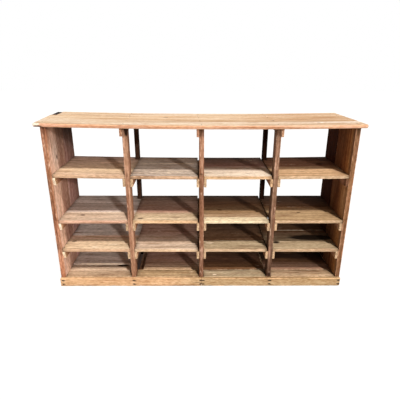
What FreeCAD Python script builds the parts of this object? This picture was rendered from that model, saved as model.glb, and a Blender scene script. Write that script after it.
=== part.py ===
"""Open-backed pigeonhole cabinet of old nailed pine boards, four bays wide and four rows high."""
import FreeCAD
import Part
import Sketcher
import os
import re

# Driving sizes in millimetres. Heights of shelves are to their upper faces.
SIZES = {
    # Whole cabinet
    "overall_height": 1000,
    "carcass_width": 1732,
    "carcass_depth": 440,
    # Top boards
    "top_thickness": 20,
    "top_side_overhang": 24,
    "top_front_overhang": 32,
    "top_back_board_width": 144,
    "top_back_end_length": 36,
    "top_back_end_sink": 3,
    "top_edge_round": 7,
    # Side boards
    "side_thickness": 28,
    "side_front_board_width": 250,
    # Divider posts
    "post_width": 27,
    "post_depth": 72,
    "back_post_depth": 50,
    "divider_spacing": 419,
    "divider_offset": 4,
    # Shelves
    "shelf_thickness": 18,
    "upper_shelf_height": 710,
    "middle_shelf_height": 434,
    "lower_shelf_height": 246,
    "notch_room": 15,
    "short_end_gap": 8,
    # Cleats that carry the shelves and the top
    "cleat_thickness": 15,
    "cleat_height": 48,
    "cleat_setback": 2,
    "cleat_nose_run": 22,
    "cleat_nose_rise": 32,
    # Bottom boards and the bearers below them
    "bottom_thickness": 18,
    "bottom_wide_board": 150,
    "bottom_rise": 6,
    "bottom_missing_strip": 33,
    "bearer_width": 45,
    # Plinth
    "plinth_height": 56,
    "plinth_thickness": 20,
    "plinth_edge_round": 3,
    # Plinth nails
    "nail_head_radius": 3.5,
    "nail_head_height": 1.2,
    "nail_shank_radius": 1.5,
    "nail_length": 38,
    "nail_point_length": 5,
    "nail_hole_clearance": 0.1,
    "nail_edge": 16,
    "nail_joint_offset": 7,
    # Shared
    "seam": 1,
    "arris_round": 2.5,
}

SHELF_HEIGHTS = ["upper_shelf_height", "middle_shelf_height", "lower_shelf_height"]
DIVIDERS = [1, 2, 3]
MIDDLE_DIVIDER = DIVIDERS[1]
BAYS = [1, 2, 3, 4]

# Faces of the carcass that the pieces are placed from
FRONT = "((top_front_overhang - carcass_depth) / 2)"
LEFT_OUTSIDE = "(0 - carcass_width / 2)"
LEFT_INSIDE = "(side_thickness - carcass_width / 2)"
RIGHT_INSIDE = "(carcass_width / 2 - side_thickness)"
TOP_UNDERSIDE = "(overall_height - top_thickness)"
CLEAT_LENGTH = "(carcass_depth - cleat_setback)"
NOTCH_FRONT = "(post_depth + notch_room)"
NOTCH_BACK = "(carcass_depth - back_post_depth - notch_room)"
NAIL_ROWS = ["nail_edge", "(plinth_height - nail_edge)"]

# Point positions on a sketched line, and the sketch's own origin and axes
LINE_START, LINE_END, CENTRE = range(1, 4)
HORIZONTAL_AXIS, VERTICAL_AXIS = range(-1, -3, -1)
SKETCH_ORIGIN = HORIZONTAL_AXIS

# A rounding takes at most this share of the thickness that it is cut from
ROUND_SHARE = 0.4

# Lengths closer than this are taken as equal
SAME = 1e-6

document = FreeCAD.newDocument("pigeonhole_cabinet")
sheet = document.addObject("Spreadsheet::Sheet", "Sizes")
nodes = []


def fill_sheet():
    """Write every driving size into the sheet under its own name."""
    for row, (alias, value) in enumerate(SIZES.items(), 1):
        sheet.set(f"A{row}", alias)
        sheet.set(f"B{row}", str(value))
        sheet.setAlias(f"B{row}", alias)
    document.recompute()


def tie(formula):
    """Turn a formula of size names into one that reads the sheet."""
    return re.sub(r"[a-z_]+", lambda word: "Sizes." + word[0] if word[0] in SIZES else word[0], formula)


def value_of(formula):
    """Work out a formula of size names as a number."""
    return float(sheet.evalExpression(tie(formula)))


def divider_centre(divider):
    return f"(divider_offset + ({divider} - {MIDDLE_DIVIDER}) * divider_spacing)"


def post_left(divider):
    return f"({divider_centre(divider)} - post_width / 2)"


def post_right(divider):
    return f"({divider_centre(divider)} + post_width / 2)"


def bay_left(bay):
    return LEFT_INSIDE if bay == BAYS[0] else post_right(bay - 1)


def bay_right(bay):
    return RIGHT_INSIDE if bay == BAYS[-1] else post_left(bay)


def origin_plane(body, role):
    return next(plane for plane in body.Origin.OriginFeatures if plane.Role == role)


def new_sketch(body, role):
    sketch = body.newObject("Sketcher::SketchObject", "sketch")
    sketch.AttachmentSupport = [(origin_plane(body, role), "")]
    sketch.MapMode = "FlatFace"
    return sketch


def fix_coordinate(sketch, kind, axis, line, point, formula):
    """Tie one coordinate of a sketched point to the sheet, or put the point on the axis."""
    if formula == "0":
        sketch.addConstraint(Sketcher.Constraint("PointOnObject", line, point, axis))
        return
    rule = Sketcher.Constraint(kind, SKETCH_ORIGIN, LINE_START, line, point, value_of(formula))
    number = sketch.addConstraint(rule)
    sketch.setExpression(f"Constraints[{number}]", tie(formula))


def fix_point(sketch, line, point, across, along):
    fix_coordinate(sketch, "DistanceX", VERTICAL_AXIS, line, point, across)
    fix_coordinate(sketch, "DistanceY", HORIZONTAL_AXIS, line, point, along)


def outline(body, role, corners):
    """Sketch a closed straight-sided outline with each corner tied to the sheet."""
    sketch = new_sketch(body, role)
    points = [FreeCAD.Vector(value_of(across), value_of(along), 0) for across, along in corners]
    count = len(points)
    for line in range(count):
        sketch.addGeometry(Part.LineSegment(points[line], points[(line + 1) % count]))
    for line in range(count):
        joined = Sketcher.Constraint("Coincident", line, LINE_END, (line + 1) % count, LINE_START)
        sketch.addConstraint(joined)
    for line, (across, along) in enumerate(corners):
        fix_point(sketch, line, LINE_START, across, along)
    return sketch


def rectangle(across, along):
    return [("0", "0"), (across, "0"), (across, along), ("0", along)]


def place(body, position):
    for axis, formula in zip("xyz", position):
        body.setExpression(f"Placement.Base.{axis}", tie(formula))


def board(label, role, corners, length, position):
    """Pad an outline into one board and stand it at its place."""
    body = document.addObject("PartDesign::Body", label)
    body.Label = label
    pad = body.newObject("PartDesign::Pad", "pad")
    pad.Profile = outline(body, role, corners)
    pad.setExpression("Length", tie(length))
    place(body, position)
    body.Tip = pad
    document.recompute()
    return body


def keep(body):
    """List a finished piece, or group of like pieces, as one node of the cabinet."""
    nodes.append(body)
    return body


def group(label, bodies):
    """Gather like pieces of one place into one node of separate solids."""
    compound = document.addObject("Part::Compound", label)
    compound.Label = label
    compound.Links = bodies
    return keep(compound)


def limited(radius, thickness):
    """Keep a rounding within its share of the thickness that it is cut from."""
    return f"min({radius}; {thickness} * {ROUND_SHARE})"


def lies_along(edge, axis):
    """Tell whether an edge is open and runs along one axis."""
    run = edge.lastVertex().Point - edge.firstVertex().Point
    return not edge.isClosed() and abs(abs(getattr(run, axis)) - run.Length) < SAME


def on_front(edge):
    return all(abs(vertex.Point.y) < SAME for vertex in edge.Vertexes)


def ease_front(body, radius, axis):
    """Round the front arrises that run along one axis, as handling has worn them."""
    base = body.Tip
    names = []
    for number, edge in enumerate(base.Shape.Edges, 1):
        if on_front(edge) and lies_along(edge, axis):
            names.append(f"Edge{number}")
    fillet = body.newObject("PartDesign::Fillet", "eased")
    fillet.Base = (base, names)
    fillet.setExpression("Radius", tie(radius))
    body.Tip = fillet


def bore_front(body, places, depth):
    """Bore nail holes straight in from the front face."""
    before = body.Tip.Shape.Volume
    sketch = new_sketch(body, "XZ_Plane")
    radius = "(nail_shank_radius + nail_hole_clearance)"
    for hole, (across, height) in enumerate(places):
        middle = FreeCAD.Vector(value_of(across), value_of(height), 0)
        upright = FreeCAD.Vector(0, 0, 1)
        sketch.addGeometry(Part.Circle(middle, upright, value_of(radius)))
        number = sketch.addConstraint(Sketcher.Constraint("Radius", hole, value_of(radius)))
        sketch.setExpression(f"Constraints[{number}]", tie(radius))
        fix_point(sketch, hole, CENTRE, across, height)
    pocket = body.newObject("PartDesign::Pocket", "nail_holes")
    pocket.Profile = sketch
    pocket.setExpression("Length", tie(depth))
    body.Tip = pocket
    document.recompute()
    if body.Tip.Shape.Volume > before - SAME:
        raise RuntimeError(f"nail holes of {body.Label} cut nothing")


def make_top():
    """A wide front board and a narrow back board, its left end worn down below the rest."""
    length = "(carcass_width + 2 * top_side_overhang)"
    left_end = f"({LEFT_OUTSIDE} - top_side_overhang)"
    front_edge = f"({FRONT} - top_front_overhang)"
    front_width = "(top_front_overhang + carcass_depth - top_back_board_width - seam)"
    front = board(
        "top_board_front", "YZ_Plane", rectangle(front_width, "top_thickness"), length,
        (left_end, front_edge, TOP_UNDERSIDE))
    ease_front(front, limited("top_edge_round", "top_thickness"), "x")
    keep(front)
    worn_face = "(top_thickness - top_back_end_sink)"
    profile = [
        ("0", "0"),
        (length, "0"),
        (length, "top_thickness"),
        ("top_back_end_length", "top_thickness"),
        ("top_back_end_length", worn_face),
        ("0", worn_face),
    ]
    back = board(
        "top_board_back", "XZ_Plane", profile, "top_back_board_width",
        (left_end, f"({FRONT} + carcass_depth)", TOP_UNDERSIDE))
    keep(back)


def make_sides():
    """Each side is two upright boards held together by the cleats across them."""
    back_width = "(carcass_depth - side_front_board_width - seam)"
    nail_places = [("side_thickness / 2", row) for row in NAIL_ROWS]
    for side, outside in (("left", LEFT_OUTSIDE), ("right", RIGHT_INSIDE)):
        front = board(
            f"side_{side}_front", "XY_Plane", rectangle("side_thickness", "side_front_board_width"),
            TOP_UNDERSIDE, (outside, FRONT, "0"))
        bore_front(front, nail_places, "(nail_length + nail_hole_clearance - plinth_thickness)")
        ease_front(front, limited("arris_round", "side_thickness"), "z")
        keep(front)
        back = board(
            f"side_{side}_back", "XY_Plane", rectangle("side_thickness", back_width),
            TOP_UNDERSIDE, (outside, f"({FRONT} + side_front_board_width + seam)", "0"))
        keep(back)


def post_nail_columns(divider):
    """The middle post takes the ends of both plinth boards, so it has two columns of nails."""
    if divider == MIDDLE_DIVIDER:
        return ["(post_width / 2 - nail_joint_offset)", "(post_width / 2 + nail_joint_offset)"]
    return ["(post_width / 2)"]


def make_posts():
    """Each divider is an open ladder: a deep front post and a shallower back post."""
    for divider in DIVIDERS:
        front = board(
            f"post_front_{divider}", "XY_Plane", rectangle("post_width", "post_depth"),
            TOP_UNDERSIDE, (post_left(divider), FRONT, "0"))
        places = [(column, row) for column in post_nail_columns(divider) for row in NAIL_ROWS]
        bore_front(front, places, "(nail_length + nail_hole_clearance - plinth_thickness)")
        ease_front(front, limited("arris_round", "post_width"), "z")
        keep(front)
        back = board(
            f"post_back_{divider}", "XY_Plane", rectangle("post_width", "back_post_depth"),
            TOP_UNDERSIDE, (post_left(divider), f"({FRONT} + carcass_depth - back_post_depth)", "0"))
        keep(back)


def strip(label, corners, left_face, upper_face):
    position = (left_face, f"({FRONT} + cleat_setback)", f"({upper_face} - cleat_height)")
    return board(label, "YZ_Plane", corners, "cleat_thickness", position)


def cleat(label, left_face, upper_face):
    """A square-ended front-to-back strip."""
    return strip(label, rectangle(CLEAT_LENGTH, "cleat_height"), left_face, upper_face)


def slanted_cleat(label, left_face, upper_face):
    """A front-to-back strip with its lower front corner cut away on a slant."""
    corners = [
        ("cleat_nose_run", "0"),
        (CLEAT_LENGTH, "0"),
        (CLEAT_LENGTH, "cleat_height"),
        ("0", "cleat_height"),
        ("0", "cleat_nose_rise"),
    ]
    return strip(label, corners, left_face, upper_face)


def make_cleats():
    """Shelves sit on cleats nailed to both faces of each divider and to each side."""
    for shelf, height in enumerate(SHELF_HEIGHTS, 1):
        underside = f"({height} - shelf_thickness)"
        keep(slanted_cleat(f"cleat_left_shelf_{shelf}", LEFT_INSIDE, underside))
        keep(cleat(f"cleat_right_shelf_{shelf}", f"({RIGHT_INSIDE} - cleat_thickness)", underside))
        for divider in DIVIDERS:
            label = f"cleats_divider_{divider}_shelf_{shelf}"
            left = cleat(f"{label}_left", f"({post_left(divider)} - cleat_thickness)", underside)
            right = cleat(f"{label}_right", post_right(divider), underside)
            group(label, [left, right])
    for divider in DIVIDERS[:-1]:
        left_face = f"({post_left(divider)} - cleat_thickness)"
        keep(cleat(f"top_cleat_{divider}", left_face, TOP_UNDERSIDE))
    last = DIVIDERS[-1]
    keep(cleat(f"top_cleat_{last}", post_right(last), TOP_UNDERSIDE))


def bearer(label, left_face):
    size = rectangle("bearer_width", "carcass_depth")
    return board(label, "XY_Plane", size, "(plinth_height - bottom_thickness)", (left_face, FRONT, "0"))


def make_bearers():
    """Low bearers on the floor carry the bottom boards beside each upright."""
    keep(bearer("bearer_left", LEFT_INSIDE))
    keep(bearer("bearer_right", f"({RIGHT_INSIDE} - bearer_width)"))
    for divider in DIVIDERS:
        label = f"bearers_divider_{divider}"
        left = bearer(f"{label}_left", f"({post_left(divider)} - bearer_width)")
        right = bearer(f"{label}_right", post_right(divider))
        group(label, [left, right])


def shelf_outline(bay, width):
    """Outline of one shelf board, with the tongue that fills the ladder between its posts."""
    tongue = "(post_width + seam)"
    if bay == BAYS[0]:
        end = f"({width} + {tongue})"
        return [
            ("0", "0"), (width, "0"), (width, NOTCH_FRONT), (end, NOTCH_FRONT),
            (end, NOTCH_BACK), (width, NOTCH_BACK), (width, "carcass_depth"), ("0", "carcass_depth")]
    if bay == BAYS[1]:
        return rectangle(width, "carcass_depth")
    end = f"({tongue} + {width})"
    return [
        (tongue, "0"), (end, "0"), (end, "carcass_depth"), (tongue, "carcass_depth"),
        (tongue, NOTCH_BACK), ("0", NOTCH_BACK), ("0", NOTCH_FRONT), (tongue, NOTCH_FRONT)]


def make_shelves():
    """One wide board per bay, notched round the posts and let through the open ladder."""
    for shelf, height in enumerate(SHELF_HEIGHTS, 1):
        for bay in BAYS:
            right_gap = "short_end_gap" if bay in BAYS[1:3] else "seam"
            width = f"({bay_right(bay)} - {bay_left(bay)} - seam - {right_gap})"
            start = f"({bay_left(bay)} + seam)" if bay in BAYS[:2] else post_left(bay - 1)
            piece = board(
                f"shelf_{shelf}_bay_{bay}", "XY_Plane", shelf_outline(bay, width),
                "shelf_thickness", (start, FRONT, f"({height} - shelf_thickness)"))
            ease_front(piece, limited("arris_round", "shelf_thickness"), "x")
            keep(piece)


def make_bottom():
    """A front and a back board per bay; the first back board is raised, the second falls short."""
    underside = "(plinth_height - bottom_thickness)"
    back_notch = f"({NOTCH_BACK} - {NOTCH_FRONT})"
    for bay in BAYS:
        front_depth = "bottom_wide_board" if bay == BAYS[0] else NOTCH_FRONT
        width = f"({bay_right(bay)} - {bay_left(bay)} - 2 * seam)"
        keep(board(
            f"bottom_front_{bay}", "XY_Plane", rectangle(width, f"({front_depth} - seam)"),
            "bottom_thickness", (f"({bay_left(bay)} + seam)", FRONT, underside)))
        depth = f"(carcass_depth - {front_depth})"
        thickness = "bottom_thickness"
        start = f"({bay_left(bay)} + seam)"
        corners = rectangle(width, depth)
        if bay == BAYS[0]:
            thickness = "(bottom_thickness + bottom_rise)"
        elif bay == BAYS[1]:
            corners = rectangle(f"({width} + seam - bottom_missing_strip)", depth)
            start = f"({bay_left(bay)} + bottom_missing_strip)"
        else:
            tongue = "(post_width + seam)"
            end = f"({tongue} + {width})"
            corners = [
                ("0", "0"), (end, "0"), (end, depth), (tongue, depth),
                (tongue, back_notch), ("0", back_notch)]
            start = post_left(bay - 1)
        keep(board(
            f"bottom_back_{bay}", "XY_Plane", corners, thickness,
            (start, f"({FRONT} + {front_depth})", underside)))


def make_plinth():
    """Two boards butted over the middle post and nailed to every upright."""
    middle = divider_centre(MIDDLE_DIVIDER)
    half_seam = "(seam / 2)"
    front_face = f"({FRONT} - plinth_thickness)"
    right_start = f"({middle} + {half_seam})"
    lengths = {
        "left": f"({middle} - {half_seam} - {LEFT_OUTSIDE})",
        "right": f"(carcass_width / 2 - {right_start})",
    }
    starts = {"left": LEFT_OUTSIDE, "right": right_start}
    for side in lengths:
        body = board(
            f"plinth_{side}", "YZ_Plane", rectangle("plinth_thickness", "plinth_height"),
            lengths[side], (starts[side], front_face, "0"))
        places = []
        for column in nail_columns(side):
            for row in NAIL_ROWS:
                places.append((f"({column} - {starts[side]})", row))
        bore_front(body, places, "plinth_thickness")
        ease_top_front(body)
        keep(body)


def ease_top_front(body):
    """Round only the upper front arris of a plinth board."""
    base = body.Tip
    height = value_of("plinth_height")
    names = []
    for number, edge in enumerate(base.Shape.Edges, 1):
        upper = abs(edge.Vertexes[0].Point.z - height) < SAME
        if upper and on_front(edge) and lies_along(edge, "x"):
            names.append(f"Edge{number}")
    fillet = body.newObject("PartDesign::Fillet", "eased")
    fillet.Base = (base, names)
    fillet.setExpression("Radius", tie(limited("plinth_edge_round", "plinth_thickness")))
    body.Tip = fillet


def nail_columns(side):
    """Nails of one plinth board: into the side, into its post and into the middle post."""
    middle = divider_centre(MIDDLE_DIVIDER)
    if side == "left":
        return [
            f"({LEFT_OUTSIDE} + side_thickness / 2)", divider_centre(DIVIDERS[0]),
            f"({middle} - nail_joint_offset)"]
    return [
        f"({middle} + nail_joint_offset)", divider_centre(DIVIDERS[2]),
        f"({RIGHT_INSIDE} + side_thickness / 2)"]


def nail(label, column, row):
    """A round-headed wire nail driven straight in, turned from its half outline."""
    body = document.addObject("PartDesign::Body", label)
    body.Label = label
    total = "(nail_head_height + nail_length)"
    shoulder = f"({total} - nail_point_length)"
    half = outline(body, "XY_Plane", [
        ("0", "0"), ("nail_head_radius", "0"), ("nail_head_radius", "nail_head_height"),
        ("nail_shank_radius", "nail_head_height"), ("nail_shank_radius", shoulder), ("0", total)])
    turned = body.newObject("PartDesign::Revolution", "turned")
    turned.Profile = half
    turned.ReferenceAxis = (half, ["V_Axis"])
    body.Tip = turned
    place(body, (column, f"({FRONT} - plinth_thickness - nail_head_height)", row))
    return body


def make_nails():
    """All the plinth nails are alike, so they are one node of separate solids."""
    bodies = []
    for side in ("left", "right"):
        for column in nail_columns(side):
            for row in NAIL_ROWS:
                bodies.append(nail(f"nail_{len(bodies) + 1}", column, row))
    group("plinth_nails", bodies)


def check_and_write():
    """Write one file per node once every object has been found sound."""
    document.recompute()
    for item in document.Objects:
        if "Invalid" in item.State or "Error" in item.State:
            raise RuntimeError(f"{item.Label} failed: {item.State}")
    for node in nodes:
        if node.Shape.isNull() or not node.Shape.isValid():
            raise RuntimeError(f"{node.Label} has no sound shape")
    os.makedirs("parts", exist_ok=True)
    for node in nodes:
        node.Shape.exportStep(f"parts/{node.Label}.step")


fill_sheet()
make_top()
make_sides()
make_posts()
make_cleats()
make_bearers()
make_shelves()
make_bottom()
make_plinth()
make_nails()
check_and_write()
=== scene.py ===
"""Old pine pigeonhole cabinet, dressed over its CAD frame.

Worn boards, open ladder dividers, cleats, a plinth and nails.
Everything is in metres, in the CAD model's frame.
"""
import math

import bpy
import numpy as np
from mathutils import Matrix, Vector


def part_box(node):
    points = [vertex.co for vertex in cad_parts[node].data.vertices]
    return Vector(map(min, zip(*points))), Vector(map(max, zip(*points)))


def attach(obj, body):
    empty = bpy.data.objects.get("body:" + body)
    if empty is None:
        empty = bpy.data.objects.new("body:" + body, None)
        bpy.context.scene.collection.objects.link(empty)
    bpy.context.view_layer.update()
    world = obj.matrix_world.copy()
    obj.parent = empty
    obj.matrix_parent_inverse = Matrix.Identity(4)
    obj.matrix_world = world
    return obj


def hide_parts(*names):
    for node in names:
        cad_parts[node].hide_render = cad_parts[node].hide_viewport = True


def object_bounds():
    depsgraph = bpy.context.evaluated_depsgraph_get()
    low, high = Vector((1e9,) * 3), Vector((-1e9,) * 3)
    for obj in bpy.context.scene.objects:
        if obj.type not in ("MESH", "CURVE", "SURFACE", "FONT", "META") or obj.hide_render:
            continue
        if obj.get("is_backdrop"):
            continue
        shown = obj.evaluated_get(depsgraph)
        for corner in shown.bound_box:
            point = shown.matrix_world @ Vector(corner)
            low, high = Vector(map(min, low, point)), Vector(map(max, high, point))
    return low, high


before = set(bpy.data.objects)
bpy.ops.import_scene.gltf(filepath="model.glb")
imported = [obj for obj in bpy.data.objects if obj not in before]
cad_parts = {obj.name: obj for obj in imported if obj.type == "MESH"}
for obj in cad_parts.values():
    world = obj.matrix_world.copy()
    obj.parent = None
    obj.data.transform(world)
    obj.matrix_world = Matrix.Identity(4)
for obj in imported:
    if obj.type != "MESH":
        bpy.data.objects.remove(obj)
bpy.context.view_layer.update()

MM = 0.001
X, Y, Z = range(3)
TINY = 1e-6
WHITE = (1.0, 1.0, 1.0, 1.0)

# Whole numbers that scramble a cell of space into a seeded random value.
CELL_PRIMES = np.array((374761393, 668265263, 1440662683))
SEED_PRIME = 362437
SCRAMBLER = 1274126177
WORD = 0xFFFFFFFF
SHORT = 0xFFFF

# The upper half of the old carcass hangs a little, lowest just right of its middle.
SAG_MIDDLE = 0.1
SAG_HALF_WIDTH = 0.95
SAG_CURVE = 0.0115
SAG_DROP = 0.0052
SAG_HEIGHTS = (0.40, 0.76)

# The top is out of square: from its front edge to its back edge it leans this far to the left.
TOP_SKEW = 0.026
TOP_FRONT = -0.236
TOP_DEPTH = 0.472


def colour(code):
    """An sRGB hex colour as linear red, green, blue and alpha."""
    parts = [int(code[i:i + 2], 16) / 255 for i in (1, 3, 5)]
    return [p / 12.92 if p <= 0.04045 else ((p + 0.055) / 1.055) ** 2.4 for p in parts] + [1.0]


def drift(points, size, seed):
    """Smooth seeded noise from -1 to 1 over the points, with swells of about this size."""
    cells = points / size
    base = np.floor(cells).astype(np.int64)
    part = cells - base
    part = part * part * (3 - 2 * part)
    total = np.zeros(len(points))
    for corner in range(8):
        step = np.array([(corner >> axis) & 1 for axis in range(3)])
        code = ((base + step) @ CELL_PRIMES + seed * SEED_PRIME) & WORD
        code = ((code ^ (code >> 13)) * SCRAMBLER) & WORD
        value = ((code ^ (code >> 16)) & SHORT) / (SHORT / 2) - 1
        total += value * np.prod(np.where(step, part, 1 - part), axis=1)
    return total


def ease(values, start, stop):
    """A smooth step from 0 at start to 1 at stop."""
    share = np.clip((values - start) / (stop - start), 0, 1)
    return share * share * (3 - 2 * share)


def settle(points):
    """Lets the cabinet's upper half hang a little in the middle, as the old carcass does in the photo."""
    lift = SAG_CURVE * ((points[:, X] - SAG_MIDDLE) / SAG_HALF_WIDTH) ** 2 - SAG_DROP
    points[:, Z] += lift * ease(points[:, Z], *SAG_HEIGHTS)
    return points


def skew(points):
    """Turns the top out of square, as it is in the photo: its back edge sits to the left."""
    points[:, X] -= TOP_SKEW * np.clip((points[:, Y] - TOP_FRONT) / TOP_DEPTH, 0, 1)
    return points


# Materials

# What a board's points carry, the output that a finish reads it from, and how the mesh keeps it: place in
# the log, wood tone, rubbed arrises, stains, scuffs, distance from a knot counted in knots, and sawn ends.
# The tone carries painted shade as well as the wood's own colour.
FACTOR = ("Fac", "FLOAT", "value")
BOARD_VALUES = {
    "grain": ("Vector", "FLOAT_VECTOR", "vector"),
    "tone": ("Color", "FLOAT_COLOR", "color"),
    "wear": FACTOR, "stain": FACTOR, "scuff": FACTOR, "knot": FACTOR, "end": FACTOR,
}

# Patterns that run with the grain: length and width in millimetres, the noise's detail, roughness and
# distortion, and whether a finish may draw them coarser. On the real boards streaks, dirt threads, fibres and
# specks are about a third to a tenth as wide. They are drawn this coarse so that they show in the render.
GRAIN_PATTERNS = {
    "wander": (330.0, 90.0, 3.0, 0.5, 0.0, False),
    "streaks": (500.0, 23.0, 5.0, 0.68, 0.5, True),
    "threads": (300.0, 12.0, 3.0, 0.6, 0.0, True),
    "fibres": (110.0, 4.4, 2.0, 0.5, 0.0, False),
    "blotches": (420.0, 77.0, 4.0, 0.6, 0.0, False),
    "specks": (22.0, 7.7, 3.0, 0.5, 0.0, False),
}
# A noise lies mostly between these two values.
NOISE_SPAN = {"From Min": 0.3, "From Max": 0.7}

# How far rings wander and are pushed aside by a knot, and how much the log tapers.
RING_WANDER = 30.0 * MM
KNOT_PUSH = 14.0 * MM
LOG_TAPER = 0.012

# What late wood, a dirty dent and a sawn end leave of the wood's red, green and blue.
LATE_WOOD = (0.62, 0.52, 0.44)
DENT_DIRT = (0.3, 0.24, 0.2)
SAWN_END = (0.80, 0.74, 0.68)

# Settings that many nodes share, and the two colour inputs of a Mix node.
SMOOTH = {"interpolation_type": "SMOOTHSTEP"}
COLOURS = {"out": 2, "data_type": "RGBA"}
MIX_A, MIX_B = 6, 7


def add(tree, kind, inputs=(), out=0, **settings):
    """Adds one node with its settings, links or sets its inputs, and gives back one of its outputs."""
    node = tree.nodes.new(kind)
    for key, value in settings.items():
        setattr(node, key, value)
    for key, value in dict(inputs).items():
        if isinstance(value, bpy.types.NodeSocket):
            tree.links.new(value, node.inputs[key])
        else:
            node.inputs[key].default_value = value
    return node.outputs[out]


def new_material(name):
    """A node material with only its output: the material, its tree and the socket that takes the shader."""
    material = bpy.data.materials.new(name)
    material.use_nodes = True
    tree = material.node_tree
    tree.nodes.clear()
    return material, tree, tree.nodes.new("ShaderNodeOutputMaterial").inputs["Surface"]


def aged_pine(name, ring_mm, line, streak, speck, warmth, worn, stained, scuffed, knotted, greyed, grey,
              rough, gloss, coarse=1.0):
    """Old pine cut from a log: growth rings round a pith line, streaks, knots, worn arrises, dirt and marks.

    Real rings are 2 to 4 mm apart. They are drawn 14 to 38 mm apart, or the render would lose them, and
    widest on the top, which is seen at a slant. coarse widens streaks and threads for the same reason.
    """
    material, tree, surface = new_material(name)
    grain, tone, wear, stain, scuff, knot, end = [
        add(tree, "ShaderNodeAttribute", out=out, attribute_name=key)
        for key, (out, _, _) in BOARD_VALUES.items()]
    noise = {}
    for key, (length, width, detail, roughness, distortion, widened) in GRAIN_PATTERNS.items():
        times = coarse if widened else 1.0
        along, across = 1 / (length * MM * times), 1 / (width * MM * times)
        stretched = add(tree, "ShaderNodeVectorMath", {0: grain, 1: (along, across, across)},
                        operation="MULTIPLY")
        noise[key] = add(tree, "ShaderNodeTexNoise", {"Vector": stretched, "Scale": 1.0, "Detail": detail,
                                                      "Roughness": roughness, "Distortion": distortion})
    fibre, blotch, grit = noise["fibres"], noise["blotches"], noise["specks"]

    # Rings: distance from the pith, wandering over about 300 mm and pushed aside by knots.
    wander = noise["wander"].node.outputs["Color"]
    centred = add(tree, "ShaderNodeVectorMath", {0: wander, 1: (0.5, 0.5, 0.5)}, operation="SUBTRACT")
    bent = add(tree, "ShaderNodeVectorMath", {0: centred, 1: (0.0, RING_WANDER, RING_WANDER), 2: grain},
               operation="MULTIPLY_ADD")
    sideways = add(tree, "ShaderNodeVectorMath", {0: bent, 1: (0.0, 1.0, 1.0)}, operation="MULTIPLY")
    radius = add(tree, "ShaderNodeVectorMath", {0: sideways}, out="Value", operation="LENGTH")
    up_log = add(tree, "ShaderNodeSeparateXYZ", {0: grain}, out="X")
    tapered = add(tree, "ShaderNodeMath", {0: up_log, 1: LOG_TAPER, 2: radius}, operation="MULTIPLY_ADD")
    swell = add(tree, "ShaderNodeMapRange", {"Value": knot, "From Min": 3.6, "From Max": 0.6}, **SMOOTH)
    pushed = add(tree, "ShaderNodeMath", {0: swell, 1: KNOT_PUSH, 2: tapered}, operation="MULTIPLY_ADD")
    rings = add(tree, "ShaderNodeMath", {0: pushed, 1: ring_mm * MM}, operation="DIVIDE")
    cycle = add(tree, "ShaderNodeMath", {0: rings}, operation="FRACT")
    rise = add(tree, "ShaderNodeMapRange", {"Value": cycle, "From Min": 0.3, "From Max": 0.86}, **SMOOTH)
    fall = add(tree, "ShaderNodeMapRange", {"Value": cycle, "From Min": 1.0, "From Max": 0.9}, **SMOOTH)
    late = add(tree, "ShaderNodeMath", {0: rise, 1: fall}, operation="MULTIPLY")

    # Light and dark along the grain.
    shade, *others = [
        add(tree, "ShaderNodeMapRange", {"Value": value, **NOISE_SPAN, "To Min": least, "To Max": most})
        for value, least, most in ((noise["streaks"], 1.0 - streak, 1.0 + 0.9 * streak), (fibre, 0.88, 1.1),
                                   (blotch, 1.0 - 0.5 * streak, 1.0 + 0.45 * streak),
                                   (grit, 1.0 - speck, 1.0 + 0.8 * speck))]
    for other in others:
        shade = add(tree, "ShaderNodeMath", {0: shade, 1: other}, operation="MULTIPLY")
    # Darker streaks are also warmer, as resin is.
    redder = add(tree, "ShaderNodeMath", {0: shade, 1: 1.0 - warmth}, operation="POWER")
    browner = add(tree, "ShaderNodeMath", {0: shade, 1: 1.0 + 1.2 * warmth}, operation="POWER")
    resin = add(tree, "ShaderNodeCombineXYZ", {"X": redder, "Y": shade, "Z": browner})
    early = add(tree, "ShaderNodeVectorMath", {0: tone, 1: resin}, operation="MULTIPLY")
    summer = add(tree, "ShaderNodeVectorMath", {0: early, 1: LATE_WOOD}, operation="MULTIPLY")
    soiled = add(tree, "ShaderNodeMapRange", {"Value": noise["threads"], "From Min": 0.55, "From Max": 0.7,
                                              "To Max": 1.2 * streak}, **SMOOTH)
    patchy = add(tree, "ShaderNodeMapRange", {"Value": blotch, "From Min": 0.36, "From Max": 0.6,
                                              "To Min": 0.2 * line, "To Max": line})
    ringed = add(tree, "ShaderNodeMath", {0: late, 1: patchy}, operation="MULTIPLY")
    lined = add(tree, "ShaderNodeMath", {0: ringed, 1: soiled}, operation="MAXIMUM")
    wood = add(tree, "ShaderNodeMix", {"Factor": lined, MIX_A: early, MIX_B: summer}, **COLOURS)

    # Small dents, about 5 mm across, hold old dirt, and patches of about 100 mm have gone grey.
    for value, start, full, most, left in ((grit, 0.64, 0.72, 0.9 * speck, DENT_DIRT),
                                           (blotch, 0.42, 0.72, grey, colour(greyed)[:3])):
        share = add(tree, "ShaderNodeMapRange", {"Value": value, "From Min": start, "From Max": full,
                                                 "To Max": most}, **SMOOTH)
        dulled = add(tree, "ShaderNodeVectorMath", {0: wood, 1: left}, operation="MULTIPLY")
        wood = add(tree, "ShaderNodeMix", {"Factor": share, MIX_A: wood, MIX_B: dulled}, **COLOURS)

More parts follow.
